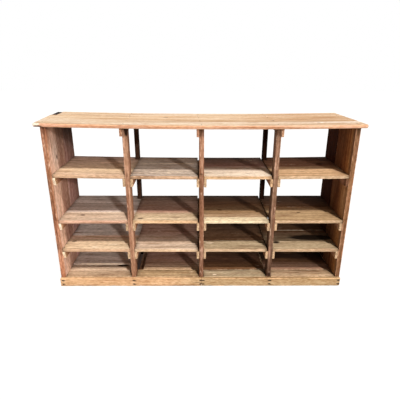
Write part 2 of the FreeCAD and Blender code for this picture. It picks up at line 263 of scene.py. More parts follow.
    # Rubbed arrises, pale scuffs, knots and stains, each with a ragged border.
    for value, ragged, share, start, full, most, tint in (
            (wear, grit, 0.9, 0.72, 1.15, 0.85, worn), (scuff, grit, 1.1, 0.78, 1.3, 0.85, scuffed),
            (knot, grit, 0.7, 1.55, 0.95, 0.88, knotted), (stain, blotch, 0.8, 0.62, 1.15, 0.94, stained)):
        reach = add(tree, "ShaderNodeMath", {0: ragged, 1: share, 2: value}, operation="MULTIPLY_ADD")
        cover = add(tree, "ShaderNodeMapRange", {"Value": reach, "From Min": start, "From Max": full,
                                                 "To Max": most}, **SMOOTH)
        wood = add(tree, "ShaderNodeMix", {"Factor": cover, MIX_A: wood, MIX_B: colour(tint)}, **COLOURS)
    sawn = add(tree, "ShaderNodeVectorMath", {0: wood, 1: SAWN_END}, operation="MULTIPLY")
    face = add(tree, "ShaderNodeMix", {"Factor": end, MIX_A: wood, MIX_B: sawn}, **COLOURS)

    # Summer wood stands proud where soft wood has worn away, so rings and fibres also carry the bump.
    ridge = add(tree, "ShaderNodeMath", {0: late, 1: 0.7, 2: fibre}, operation="MULTIPLY_ADD")
    relief = add(tree, "ShaderNodeMath", {0: grit, 1: 0.5, 2: ridge}, operation="MULTIPLY_ADD")
    normal = add(tree, "ShaderNodeBump", {"Strength": 0.35, "Distance": 1.2 * MM, "Height": relief})
    dull = add(tree, "ShaderNodeMapRange", {"Value": grit, **NOISE_SPAN, "To Min": rough - 0.08,
                                            "To Max": rough + 0.1})
    shader = add(tree, "ShaderNodeBsdfPrincipled", {"Base Color": face, "Roughness": dull, "IOR": 1.5,
                                                    "Specular IOR Level": gloss, "Normal": normal})
    tree.links.new(shader, surface)
    return material


def rusted_iron(name):
    """Wire nails left bare indoors: near-black iron with brown rust in patches of about 2 mm, quite matt."""
    material, tree, surface = new_material(name)
    place = add(tree, "ShaderNodeTexCoord", out="Object")
    patch = add(tree, "ShaderNodeTexNoise", {"Vector": place, "Scale": 1 / (2 * MM), "Detail": 3.0})
    share = add(tree, "ShaderNodeMapRange", {"Value": patch, "From Min": 0.42, "From Max": 0.62}, **SMOOTH)
    skin = add(tree, "ShaderNodeMix", {"Factor": share, MIX_A: colour("#2b2320"), MIX_B: colour("#5a3420")},
               **COLOURS)
    dull = add(tree, "ShaderNodeMapRange", {"Value": share, "To Min": 0.55, "To Max": 0.9})
    normal = add(tree, "ShaderNodeBump", {"Strength": 0.5, "Distance": 0.4 * MM, "Height": patch})
    shader = add(tree, "ShaderNodeBsdfPrincipled", {"Base Color": skin, "Roughness": dull, "Metallic": 0.35,
                                                    "Normal": normal})
    tree.links.new(shader, surface)
    return material


FINISHES = {
    # Waxed top: honey pine with dark figure lines and a soft sheen, rubbed pale along its front.
    "pine_top": aged_pine(
        "waxed_honey_pine", ring_mm=38.0, line=1.0, streak=0.5, speck=0.24, warmth=0.4, worn="#e4bc96",
        stained="#1c100b", scuffed="#f2e2d2", knotted="#5a3520",
        greyed="#dcc2a6", grey=0.5, rough=0.6, gloss=0.03, coarse=2.4),
    # Uprights: red-brown planed pine, handled to salmon along the arrises, dark inside where shade is painted
    # in.
    "pine_uprights": aged_pine(
        "red_brown_pine", ring_mm=17.0, line=0.7, streak=0.4, speck=0.36, warmth=0.15, worn="#cc9c7c",
        stained="#1e110b", scuffed="#e8cab4", knotted="#3c2115",
        greyed="#c4aca4", grey=0.7, rough=0.75, gloss=0.01),
    # Shelves: bare pine, silvered and dusty, with pale rubbed front edges.
    "pine_shelves": aged_pine(
        "dusty_shelf_pine", ring_mm=22.0, line=0.5, streak=0.38, speck=0.3, warmth=0.1, worn="#ecccaa",
        stained="#1c110b", scuffed="#f3e2ca", knotted="#3f2416",
        greyed="#c2beba", grey=0.6, rough=0.8, gloss=0.01, coarse=1.45),
    # Cleats: rough sawn strips, cream on their fresh front ends and brown inside.
    "pine_cleats": aged_pine(
        "sawn_cleat_pine", ring_mm=14.0, line=0.45, streak=0.36, speck=0.34, warmth=0.1, worn="#f6e0bc",
        stained="#2a1a12", scuffed="#f6e8cf", knotted="#5a3520",
        greyed="#c4bcb4", grey=0.6, rough=0.85, gloss=0.01),
    # Plinth: honey pine like the top, with dark iron stain round its nails.
    "pine_plinth": aged_pine(
        "honey_plinth_pine", ring_mm=15.0, line=0.35, streak=0.26, speck=0.34, warmth=0.25, worn="#e6bd92",
        stained="#1e110b", scuffed="#f0dcc4", knotted="#5a3520",
        greyed="#d0bca8", grey=0.6, rough=0.66, gloss=0.06),
    "rusty_nail_iron": rusted_iron("rusted_nail_iron"),
}

# Wood tones, named for how they look on the boards.
TONES = {
    "cream": "#f2dabb", "honey": "#e8c59e", "amber": "#d9b087", "tobacco": "#a37a55", "umber": "#7f5c41",
    "coffee": "#604a3b", "shell": "#f4d8c6", "rose": "#e5bca5", "salmon": "#d3a184", "russet": "#b8876a",
    "brick": "#997058", "cocoa": "#745341", "peat": "#4c372b", "soot": "#2c1a12", "mauve": "#b8917f",
    "plum": "#8f6c60", "ochre": "#c08a58", "chestnut": "#855a3c", "mahogany": "#4c2a1c", "fawn": "#947155",
    "tan": "#cbaf90", "peach": "#f9d4be", "clay": "#bb9379", "terracotta": "#ba8062", "dusk": "#d6b5a6",
    "heather": "#cfa69c", "bark": "#957863", "hazel": "#b18d77", "sisal": "#b89d78", "flax": "#e4ceb9",
    "wheat": "#e9d3b3", "linen": "#e3c8b0", "pewter": "#d2c6bc", "barley": "#c5b294", "hemp": "#c2a681",
    "oat": "#d8b38c", "drift": "#a98a68", "bone": "#fff2e0", "blush": "#caa98c", "ivory": "#efdfbe",
    "wax": "#f8e8d3", "gilt": "#f3dbbd", "ash": "#e6d8d0", "silver": "#d2c1b8", "dun": "#b49d8c",
    "slate": "#917c6e", "flint": "#6c5b51", "lead": "#483c36",
}


# Boards

# Lattice lines beside an arris, as shares of the rim that its rounding may reach, and how close they come.
RIM_SHARES = (0.3, 0.62, 1.0)
LEAST_FROM_ARRIS = 0.0004
LEAST_GAP = 0.0005
# An arris rounds over at most this share of a board's thickness, and at least by this radius.
RIM_MOST = 0.45
LEAST_ROUND = 0.8 * MM
# Lattice steps across a board's width and through its thickness, and the share by which a gap may pass one.
WIDTH_STEP = 9.0 * MM
THICKNESS_STEP = 6.0 * MM
STEP_SLACK = 0.25

# Lengths over which wear, bows, tones, and dirt and painted shade along edges come and go.
ARRIS_SWELL = 0.045
CHIP_SIZE = 0.016
BOW_LENGTH = 0.38
HOLLOW_SIZE = 0.05
EDGE_WAVE = 0.11
CRACK_WAVE = 0.05
TONE_WAVE = 0.05
WEAR_WAVE = 0.06
DIRT_AND_SHADE_WAVE = 0.03
# Chips start where their noise passes the first value, and are full this much further on.
CHIP_ONSET, CHIP_RAMP = 0.5, 0.3
# How deep the hollows on a face are, how far in an edge wavers, and how far tones wander.
HOLLOW_DEPTH = 0.25 * MM
EDGE_DEPTH = 0.03
TONE_SWAY = 0.004
# How far wear reaches in from an arris, a sawn end's colour along the grain, and the wear of a front edge.
WEAR_REACH = 7.0 * MM
END_REACH = 2.5 * MM
FRONT_SKIN = 4.0 * MM
# A slant-cut end leans back over this length.
NOSE_LENGTH = 0.06
# Knots further off than this, counted in knots, don't show.
NO_KNOT = 4.0
# Each board is cut this far along the log from the last, so many to a log, and its grain runs at this slope.
LOG_STEP = 1.7
CUTS_IN_LOG = 40
RUN_OUT = 0.012
# The pith lies to one side, by a share of the board's width, and below it.
PITH_ASIDE = 0.75
PITH_BELOW = (0.03, 0.11)

# A board where nothing else is said. In millimetres: how far its rounding may reach, the radius of its
# arrises and chips, its bow, its wavering edges and its lattice step. Wear and the ends' colour are shares.
BOARD_LOOK = dict(rim=6.0, round=2.5, front_round=None, chip=2.5, bow=0.5, waver=0.5, step=10.0, wear=0.6,
                  front_wear=0.0, end=0.9, fade=Y, nose=None, cracks=(), knots=(), marks=(), grime=())
# A crack where nothing else is said: how it starts, ends and sways in millimetres, and how dark or pale.
CRACK_LOOK = dict(lead=40.0, trail=40.0, sway=2.0, dark=1.1, pale=0.0)


def even_lines(breaks, step, rim, extra):
    """Lattice lines along one side of a board: bunched beside each break for its rounding, even between."""
    kept = [breaks[0]]
    wanted = {round(b + sign * share * rim, 7) for b in breaks for sign in (-1, 1) for share in RIM_SHARES}
    wanted |= set(extra)
    places = sorted([(b, True) for b in breaks[1:]] +
                    [(w, False) for w in wanted if breaks[0] < w < breaks[-1] and
                     min(abs(w - b) for b in breaks) > LEAST_FROM_ARRIS])
    for place, fixed in places:
        gap = place - kept[-1]
        if gap < LEAST_GAP and not fixed:
            continue
        count = max(1, math.ceil(gap / step - STEP_SLACK))
        kept += [kept[-1] + gap * n / count for n in range(1, count)] + [place]
    return np.array(kept)


def shell(full):
    """Outward quads, as lattice corners, round the filled cells."""
    quads = []
    padded = np.pad(full, 1)
    inside = (slice(1, -1),) * 3
    for axis in range(3):
        for side in (0, 1):
            beyond = np.roll(padded, 1 - 2 * side, axis)[inside]
            cells = np.argwhere(full & ~beyond)
            loop = []
            for first, second in ((0, 0), (1, 0), (1, 1), (0, 1)):
                corner = cells.copy()
                corner[:, axis] += side
                corner[:, (axis + 1) % 3] += first
                corner[:, (axis + 2) % 3] += second
                loop.append(corner)
            quads.append(np.stack(loop if side else loop[::-1], 1))
    return np.concatenate(quads)


def rooms(points, low, high, tongue):
    """How far each point lies inside the nearest face along each axis, and which way that face looks."""
    lows, highs = np.tile(low, (len(points), 1)), np.tile(high, (len(points), 1))
    if tongue:
        side, root, first, last = tongue
        beside = (points[:, Y] < first - TINY) | (points[:, Y] > last + TINY)
        past = (points[:, X] - root) * side > TINY
        (highs if side > 0 else lows)[beside, X] = root
        lows[past, Y] = first
        highs[past, Y] = last
    under, over = points - lows, highs - points
    return np.minimum(under, over), np.where(over < under, 1, -1)


def blob(points, centre, reach):
    """A soft spot, 1 at its centre and fading over its reach along each axis, all in millimetres."""
    away = (points - np.array(centre) * MM) / (np.array(reach) * MM)
    return np.exp(-np.sum(away * away, axis=1))


def lattice(low, high, axes, rim, tongue, look):
    """The skin of a square board as points and quads, with lines where it rounds, cracks or changes tone."""
    along, wide, thin = axes
    step = np.zeros(3)
    step[[along, wide, thin]] = look["step"] * MM, WIDTH_STEP, THICKNESS_STEP
    breaks = [[low[a], high[a]] for a in range(3)]
    if tongue:
        side, root, first, last = tongue
        breaks[X] = sorted({low[X], root, high[X]})
        breaks[Y] = sorted({low[Y], first, last, high[Y]})
    extra = [[], [], []]
    fade = look["fade"]
    extra[fade] += [p * MM for p, _ in look["shades"] if low[fade] < p * MM < high[fade]]
    for crack in look["cracks"]:
        middle, half = crack["across"] * MM, 0.5 * crack["width"] * MM
        extra[wide] += [middle - half, middle, middle + half]
    lines = [even_lines(breaks[a], step[a], rim, extra[a]) for a in range(3)]
    full = np.ones([len(n) - 1 for n in lines], bool)
    if tongue:
        mid_x, mid_y = [(lines[a][:-1] + lines[a][1:]) / 2 for a in (X, Y)]
        past = (mid_x - root) * side > 0
        beside = (mid_y < first) | (mid_y > last)
        full[np.ix_(past, beside)] = False
    skin = shell(full)
    counts = [len(n) for n in lines]
    codes = (skin[..., 0] * counts[1] + skin[..., 1]) * counts[2] + skin[..., 2]
    used, quads = np.unique(codes, return_inverse=True)
    place = np.unravel_index(used, counts)
    return np.stack([lines[a][place[a]] for a in range(3)], 1), quads.reshape(codes.shape)


def cracked(points, rest, on_face, facing, axes, seed, cracks):
    """Opens cracks in a board's points, and gives back the dirt in them and the rubbed wood along them."""
    along, wide, thin = axes
    run = rest[:, along] / MM
    stain, scuff = np.zeros(len(rest)), np.zeros(len(rest))
    for crack in cracks:
        crack = {**CRACK_LOOK, **crack}
        first, last = crack["span"]
        inside = np.minimum((run - first) / crack["lead"], (last - run) / crack["trail"])
        fade = np.clip(inside, 0, 1) ** 0.7
        away = np.abs(rest[:, wide] - crack["across"] * MM)
        half = 0.5 * crack["width"] * MM
        same_face = on_face & (facing[:, thin] == crack["face"])
        centre = same_face & (away < 0.3 * half)
        points[centre, thin] -= crack["face"] * crack["depth"] * MM * fade[centre]
        strip = away < 1.2 * half
        sway = crack["sway"] * MM * drift(rest * np.eye(3)[along], CRACK_WAVE, seed + 9)
        points[strip, wide] += sway[strip]
        stain = np.maximum(stain, np.where(centre, crack["dark"] * fade, 0))
        scuff = np.maximum(scuff, np.where(same_face & strip, crack["pale"] * fade, 0))
    return stain, scuff


def painted(rest, low, high, seed, stain, scuff, look):
    """A board's tone, stains and scuffs, from its shades, marks, and dirt and painted shade along its edges.
    """
    tints = np.array([colour(TONES[t])[:3] for _, t in look["shades"]])
    places = np.array([p for p, _ in look["shades"]]) * MM
    across = rest[:, look["fade"]] + TONE_SWAY * drift(rest, TONE_WAVE, seed + 5)
    tone = np.stack([np.interp(across, places, tints[:, c]) for c in range(3)], 1)
    for kind, centre, size, strength in look["marks"]:
        spot = strength * blob(rest, centre, size)
        if kind == "stain":
            stain = np.maximum(stain, spot)
        elif kind == "scuff":
            scuff = np.maximum(scuff, spot)
        else:
            spot = np.clip(spot, 0, 1)[:, None]
            tone = tone * (1 - spot) + np.array(colour(TONES[kind])[:3]) * spot
    # Dirt and painted shade darken the tone along the edges where boards meet.
    ragged = 1 + 0.5 * drift(rest, DIRT_AND_SHADE_WAVE, seed + 7)
    for axis, face, reach_mm, depth in look["grime"]:
        away = high[axis] - rest[:, axis] if face > 0 else rest[:, axis] - low[axis]
        tone = tone * (1 - depth * np.clip(np.exp(-away / (reach_mm * MM)) * ragged, 0, 1))[:, None]
    return tone, stain, scuff


def worn_solid(low, high, axes, seed, tongue=None, **look):
    """One worn board between two corners: points, quads and the values that its finish reads.

    axes are the grain, width and thickness directions. look gives its tones, wear, cracks, knots and marks.
    """
    look = {**BOARD_LOOK, **look}
    along, wide, thin = axes
    rim = min(look["rim"] * MM, RIM_MOST * (high[thin] - low[thin]))
    rest, quads = lattice(low, high, axes, rim, tongue, look)
    room, facing = rooms(rest, low, high, tongue)

    # Worn arrises: each point near an edge moves in on to a rounding whose radius wanders and chips.
    swell = drift(rest, ARRIS_SWELL, seed)
    chip = np.clip((drift(rest, CHIP_SIZE, seed + 1) - CHIP_ONSET) / CHIP_RAMP, 0, 1)
    radius = look["round"] * MM * (1 + 0.4 * swell) + look["chip"] * MM * chip
    if look["front_round"]:
        front = (facing[:, Y] < 0) & (room[:, Y] < rim)
        radius = np.where(front, look["front_round"] * MM * (1 + 0.2 * swell), radius)
    radius = np.clip(radius, LEAST_ROUND, rim)[:, None]
    near = np.clip(radius - room, 0, None)
    reach = np.maximum(np.linalg.norm(near, axis=1, keepdims=True), radius)
    points = rest - facing * (near - near * radius / reach)

    # Bow along the board, shallow hollows on its faces and a wavering edge.
    flat = rest.copy()
    flat[:, thin] = 0.5 * (low[thin] + high[thin])
    points[:, thin] += look["bow"] * MM * drift(flat, BOW_LENGTH, seed + 2)
    on_face = room[:, thin] < TINY
    points[:, thin] -= facing[:, thin] * on_face * HOLLOW_DEPTH * (1 + drift(rest, HOLLOW_SIZE, seed + 3))
    line = rest.copy()
    line[:, wide] = np.where(facing[:, wide] > 0, high[wide], low[wide])
    waver = look["waver"] * MM * (1 + drift(line, EDGE_WAVE, seed + 4))
    points[:, wide] -= facing[:, wide] * np.clip(1 - room[:, wide] / EDGE_DEPTH, 0, 1) * waver

    stain, scuff = cracked(points, rest, on_face, facing, axes, seed, look["cracks"])
    tone, stain, scuff = painted(rest, low, high, seed, stain, scuff, look)

    if look["nose"]:
        run, height = look["nose"]
        cut = np.clip((low[Z] + height - rest[:, Z]) / height, 0, 1)
        points[:, Y] += run * cut * np.clip(1 - (rest[:, Y] - low[Y]) / NOSE_LENGTH, 0, 1)

    knot = np.full(len(rest), NO_KNOT)
    for centre, size in look["knots"]:
        away = (rest - np.array(centre) * MM) / (size * MM)
        away[:, along] *= 0.5
        knot = np.minimum(knot, np.linalg.norm(away, axis=1))

    from_arris = np.sort(room, axis=1)[:, 1]
    wear = np.exp(-(from_arris / WEAR_REACH) ** 2) * look["wear"]
    front_face = (facing[:, Y] < 0) & (room[:, Y] < FRONT_SKIN)
    wear = np.maximum(wear, front_face * look["front_wear"])
    wear = wear * (0.8 + 0.35 * drift(rest, WEAR_WAVE, seed + 6))
    end = np.exp(-room[:, along] / END_REACH) * look["end"]

    pith = np.random.RandomState(seed)
    aside = pith.uniform(-PITH_ASIDE, PITH_ASIDE) * (high[wide] - low[wide]) + 0.5 * (high[wide] + low[wide])
    below = 0.5 * (low[thin] + high[thin]) - pith.uniform(*PITH_BELOW)
    grain = np.stack([rest[:, along] + LOG_STEP * (seed % CUTS_IN_LOG),
                      rest[:, wide] - aside + RUN_OUT * rest[:, along],
                      rest[:, thin] - below], 1)
    return points, quads, dict(grain=grain, tone=tone, wear=wear, stain=stain, scuff=scuff, knot=knot,
                               end=end)


def board_piece(name, solids, slot):
    """Joins worn solids into one piece, gives it their values and finish, and sets it in for its CAD node."""
    shift, points, quads = 0, [], []
    for solid_points, solid_quads, _ in solids:
        points.append(settle(skew(solid_points) if slot == "pine_top" else solid_points))
        quads.append(solid_quads + shift)
        shift += len(solid_points)
    mesh = bpy.data.meshes.new(name + "_worn")
    mesh.from_pydata(np.concatenate(points).tolist(), [], np.concatenate(quads).tolist())
    for key, (_, kind, field) in BOARD_VALUES.items():
        data = np.concatenate([values[key] for _, _, values in solids])
        if key == "tone":
            data = np.concatenate([data, np.ones((len(data), 1))], 1)
        mesh.attributes.new(key, kind, "POINT").data.foreach_set(field, data.astype(np.float32).ravel())
    mesh.polygons.foreach_set("use_smooth", np.ones(len(mesh.polygons), bool))
    mesh.materials.append(FINISHES[slot])
    mesh.validate()
    piece = bpy.data.objects.new(name + "_worn", mesh)
    bpy.context.scene.collection.objects.link(piece)
    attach(piece, "root")
    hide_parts(name)


# Outlines of the CAD nodes

# Corners of a CAD outline closer than this are one arris's rounding, and corners this near are one nail's.
ARRIS_ROUNDING = 0.012
NAIL_REACH = 0.006
# The edges of every tongue lie between these places, front to back.
TONGUE_SPAN = (-0.15, 0.18)


def corners(node):
    """A CAD node's lowest and highest corner."""
    low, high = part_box(node)
    return np.array(low), np.array(high)


def outline_places(node, axis):
    """The places along one axis at which a CAD node has corners, lowest first."""
    return sorted({round(v.co[axis], 4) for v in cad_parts[node].data.vertices})


def outline_lines(node, axis):
    """Where a CAD node's outline turns along one axis, leaving out the narrow rounding of its arrises."""
    places = outline_places(node, axis)
    kept = [places[0]]
    for place in places[1:]:
        if place - kept[-1] > ARRIS_ROUNDING:
            kept.append(place)
        elif place == places[-1]:
            kept[-1] = place
    return kept


def strips_in(node):
    """The lowest and highest corners of each separate strip in a CAD node, from left to right."""
    low, high = corners(node)
    sides = outline_lines(node, X)
    return [(np.array([left, low[Y], low[Z]]), np.array([right, high[Y], high[Z]]))
            for left, right in zip(sides[::2], sides[1::2])]


def tongue_of(node):
    """The tongue that reaches through a ladder divider: its side, where it starts and its two edges."""
    across = outline_lines(node, X)
    if len(across) < 3:
        return None
    first, last = [y for y in outline_lines(node, Y) if TONGUE_SPAN[0] < y < TONGUE_SPAN[1]]
    side = -1 if across[1] - across[0] < across[2] - across[1] else 1
    return side, across[1], first, last


def nail_columns(node):
    """The middles of the nails in a CAD node, seen from the front."""
    found = []
    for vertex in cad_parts[node].data.vertices:
        x, z = vertex.co.x, vertex.co.z
        for spot in found:
            if max(abs((spot[0] + spot[1]) / 2 - x), abs((spot[2] + spot[3]) / 2 - z)) < NAIL_REACH:
                spot[:] = [min(spot[0], x), max(spot[1], x), min(spot[2], z), max(spot[3], z)]
                break
        else:
            found.append([x, x, z, z])
    return [((a + b) / 2, (c + d) / 2) for a, b, c, d in found]


# Marks and dirt. A mark is a tone, stain or scuff with its centre and reach in millimetres and its strength.

STREAK_LENGTHS = (18.0, 75.0)
STREAK_DEPTH = 10.0


def grain_streaks(node, axis, side, seed, count, kinds, along=Z, width=(3.0, 6.0)):
    """Seeded streaks with the grain on one face of a board: dirt, rubbed wood and pale scratches."""
    low, high = corners(node)
    pick = np.random.RandomState(seed)
    marks = []
    for _ in range(count):
        kind, strength = kinds[pick.randint(len(kinds))]
        centre = pick.uniform(low, high) / MM
        centre[axis] = (high if side > 0 else low)[axis] / MM
        reach = np.full(3, pick.uniform(*width))
        reach[along] = pick.uniform(*STREAK_LENGTHS)
        reach[axis] = STREAK_DEPTH
        marks.append((kind, centre, reach, strength))
    return marks


def seam(across, depth, span, **dirt):
    """A straight seam between two planks of a shelf, 4 mm wide: dark with dirt, or pale where they rub."""
    return dict(across=across, width=4.0, depth=depth, span=span, face=1, sway=0.3, **dirt)


# Kinds of streaks with their strengths: on fronts, on the left side's inner face, on shelves and on the top.
HANDLED = [("stain", 0.4), ("cocoa", 0.65), ("scuff", 0.42), ("rose", 0.5), ("brick", 0.7)]
HANDLED_DARK = HANDLED[:2] + HANDLED[4:]
SCRATCHED = [("scuff", 0.55), ("scuff", 0.45), ("slate", 0.6), ("stain", 0.38), ("ash", 0.5)]
DENTED = [("stain", 0.45), ("umber", 0.55), ("scuff", 0.45), ("cocoa", 0.5), ("tobacco", 0.6)]
DENT_WIDTHS = (5.0, 9.0)
TOP_WEAR = [("ochre", 0.7), ("oat", 0.8), ("scuff", 0.4), ("tobacco", 0.5), ("stain", 0.38)]
TOP_WEAR_WIDTHS = (5.0, 8.0)

# Dirt and painted shade along an edge: its axis, its side, its reach in millimetres and how dark it is.
SHELF_DIRT_AND_SHADE = [(X, -1, 14.0, 0.55), (X, 1, 14.0, 0.55), (Y, 1, 22.0, 0.5)]
UPRIGHT_DIRT_AND_SHADE = [(Z, 1, 40.0, 0.55), (Z, -1, 30.0, 0.35)]
PLINTH_DIRT_AND_SHADE = [(Z, -1, 8.0, 0.4)]

# Grain, width and thickness directions.
UPRIGHT, LENGTHWISE, FRONT_TO_BACK = (Z, Y, X), (X, Y, Z), (Y, Z, X)
PLINTHWISE, BEARERWISE = (X, Z, Y), (Y, X, Z)


# Top. Shades give a board's tone from front to back, by place in millimetres.

board_piece("top_board_front", [worn_solid(
    *corners("top_board_front"), LENGTHWISE, seed=11, rim=9, front_round=7, round=3, chip=3, step=9,
    wear=0.7, front_wear=0.1, bow=0.8, waver=1.2,
    shades=[(-236, "rose"), (-231, "rose"), (-226, "wax"), (-120, "wax"), (-40, "gilt"), (91, "gilt")],
    cracks=[dict(across=-222, width=5, depth=6, span=(-890, -780), face=1, lead=1, trail=80),
            dict(across=-172, width=4, depth=2, span=(-420, -240), face=1),
            dict(across=40, width=4, depth=2, span=(640, 890), face=1, trail=1)],
    knots=[((-193, 60, 1000), 9), ((420, -60, 1000), 8), ((655, -150, 1000), 7)],
    marks=[("salmon", (-700, -236, 988), (330, 7, 30), 0.95),
           ("scuff", (-884, -236, 996), (26, 14, 8), 2),
           ("stain", (-862, -236, 985), (26, 6, 4), 1.3),
           ("shell", (700, -236, 988), (420, 7, 30), 0.2),
           ("oat", (640, 0, 1000), (320, 300, 50), 0.4),
           ("ochre", (560, -30, 1000), (210, 16, 50), 0.65),
           ("ochre", (300, 40, 1000), (170, 12, 50), 0.55),
           ("ochre", (760, 30, 1000), (110, 18, 50), 0.7),
           ("ochre", (-120, 50, 1000), (150, 10, 50), 0.55),
           ("ochre", (-520, -20, 1000), (190, 14, 50), 0.5),
           ("stain", (285, -200, 1000), (14, 5, 8), 0.5),
           *grain_streaks("top_board_front", Z, 1, seed=350, count=40, kinds=TOP_WEAR, along=X,
                          width=TOP_WEAR_WIDTHS)])], "pine_top")

# The left end of the back board is sunk a little and near-black.
back_low, back_high = corners("top_board_back")
worn_end = outline_lines("top_board_back", X)[1]
worn_face = outline_places("top_board_back", Z)[1]
board_piece("top_board_back", [
    worn_solid(np.array([worn_end, back_low[Y], back_low[Z]]), back_high, LENGTHWISE, seed=12, bow=0.6,
               shades=[(92, "wax"), (236, "gilt")],
               marks=[("amber", (600, 160, 1000), (300, 300, 50), 0.5)]),
    worn_solid(back_low, np.array([worn_end, back_high[Y], worn_face]), LENGTHWISE, seed=13, round=1.5,
               step=6, wear=0, shades=[(92, "soot"), (236, "soot")],
               marks=[("stain", (-872, 160, 997), (60, 300, 60), 1.6)])], "pine_top")


# Sides and posts

SIDES = {
    # The left side's inner face goes from peach at the front to mauve and plum behind: partly painted shade.
    "side_left_front": dict(
        seed=21, knots=[((-838, -87, 783), 8)],
        shades=[(-204, "terracotta"), (-200, "terracotta"), (-194, "peach"), (-120, "peach"),
                (-50, "mauve"), (46, "mauve")],
        # Painted shade high at the back, under the top.
        marks=[("flint", (-838, 30, 945), (20, 120, 160), 0.9),
               ("ash", (-838, -110, 800), (20, 45, 100), 0.75),
               ("salmon", (-852, -204, 250), (40, 10, 130), 0.85),
               ("brick", (-852, -204, 560), (40, 10, 170), 0.75),
               ("brick", (-852, -204, 880), (40, 10, 110), 0.5),
               ("terracotta", (-838, -204, 960), (20, 38, 130), 0.8),
               # A painted shadow line down the outer front arris.
               ("peat", (-866, -204, 470), (6, 14, 130), 0.9),
               ("plum", (-838, 0, 320), (20, 110, 110), 0.5),
               ("stain", (-838, -88, 775), (10, 4, 34), 1.1),
               ("scuff", (-838, -50, 780), (10, 7, 50), 0.7),
               *grain_streaks("side_left_front", Y, -1, seed=201, count=34, kinds=HANDLED),
               *grain_streaks("side_left_front", X, 1, seed=202, count=46, kinds=SCRATCHED)]),
    "side_left_back": dict(
        seed=22, wear=0.2, shades=[(46, "heather"), (236, "plum")],
        # Near-black painted shade high at the back, under the top.
        marks=[("lead", (-838, 150, 940), (40, 200, 170), 0.98),
               ("plum", (-838, 60, 320), (20, 120, 120), 0.5),
               *grain_streaks("side_left_back", X, 1, seed=203, count=12, kinds=SCRATCHED)]),
    # The right side's inner tones darken to near-black at the back: painted shade over its own red-brown.
    "side_right_front": dict(
        seed=23, step=5,
        shades=[(-204, "fawn"), (-192, "fawn"), (-160, "ochre"), (-70, "chestnut"), (46, "chestnut")],
        marks=[("ochre", (838, -175, 560), (30, 40, 150), 0.85),
               ("amber", (838, -165, 540), (12, 34, 120), 0.5),
               ("umber", (852, -204, 420), (40, 9, 230), 0.6),
               *grain_streaks("side_right_front", Y, -1, seed=204, count=24, kinds=HANDLED_DARK)]),
    "side_right_back": dict(seed=24, wear=0, shades=[(46, "mahogany"), (236, "mahogany")], marks=[]),
}
for node, look in SIDES.items():
    # The outside keeps one even red-brown, free of the painted shade on the inner faces.
    low, high = corners(node)
    outside = (low if "left" in node else high)[X] / MM
    look["marks"].insert(0, ("russet", (outside, 16, 500), (5, 900, 1500), 1))
    board_piece(node, [worn_solid(low, high, UPRIGHT, chip=3, grime=UPRIGHT_DIRT_AND_SHADE, **look)],
                "pine_uprights")

POSTS = {
    "post_front_1": dict(
        seed=31, shades=[(-204, "clay"), (-132, "brick")],
        marks=[("stain", (-404, -204, 966), (13, 30, 34), 1.3),
               ("rose", (-424, -204, 900), (5, 20, 60), 0.7),
               ("brick", (-415, -204, 120), (60, 60, 140), 0.5),
               ("brick", (-415, -204, 560), (60, 60, 90), 0.5)]),
    "post_front_2": dict(
        seed=32, shades=[(-204, "brick"), (-132, "cocoa")],
        marks=[("cocoa", (4, -204, 560), (60, 60, 100), 0.4),
               ("cocoa", (4, -204, 160), (60, 60, 130), 0.75),
               ("salmon", (4, -204, 870), (60, 60, 110), 0.35),
               ("stain", (3, -204, 727), (20, 6, 4), 1)]),
    "post_front_3": dict(
        seed=33, shades=[(-204, "bark"), (-132, "coffee")],
        marks=[("hazel", (423, -204, 880), (60, 60, 140), 0.9),
               ("peat", (423, -204, 140), (60, 60, 215), 0.9),
               ("coffee", (437, -204, 400), (9, 30, 330), 0.4),
               ("stain", (423, -200, 70), (20, 12, 22), 0.8),
               ("stain", (423, -204, 120), (30, 20, 150), 0.32)]),
    # The back posts' near-black tones are painted shade, under the top and shelves.
    "post_back_1": dict(seed=34, shades=[(186, "peat"), (236, "soot")]),
    "post_back_2": dict(seed=35, shades=[(186, "soot"), (236, "soot")]),
    "post_back_3": dict(seed=36, shades=[(186, "soot"), (236, "soot")]),
}
for node, look in POSTS.items():
    wear = 0.0
    if "front" in node:
        wear = 0.36
        look["marks"] += grain_streaks(node, Y, -1, seed=210 + look["seed"], count=26, kinds=HANDLED)
    board_piece(node, [worn_solid(*corners(node), UPRIGHT, round=3, chip=3.5, wear=wear, waver=0.8,
                                  grime=UPRIGHT_DIRT_AND_SHADE, **look)], "pine_uprights")
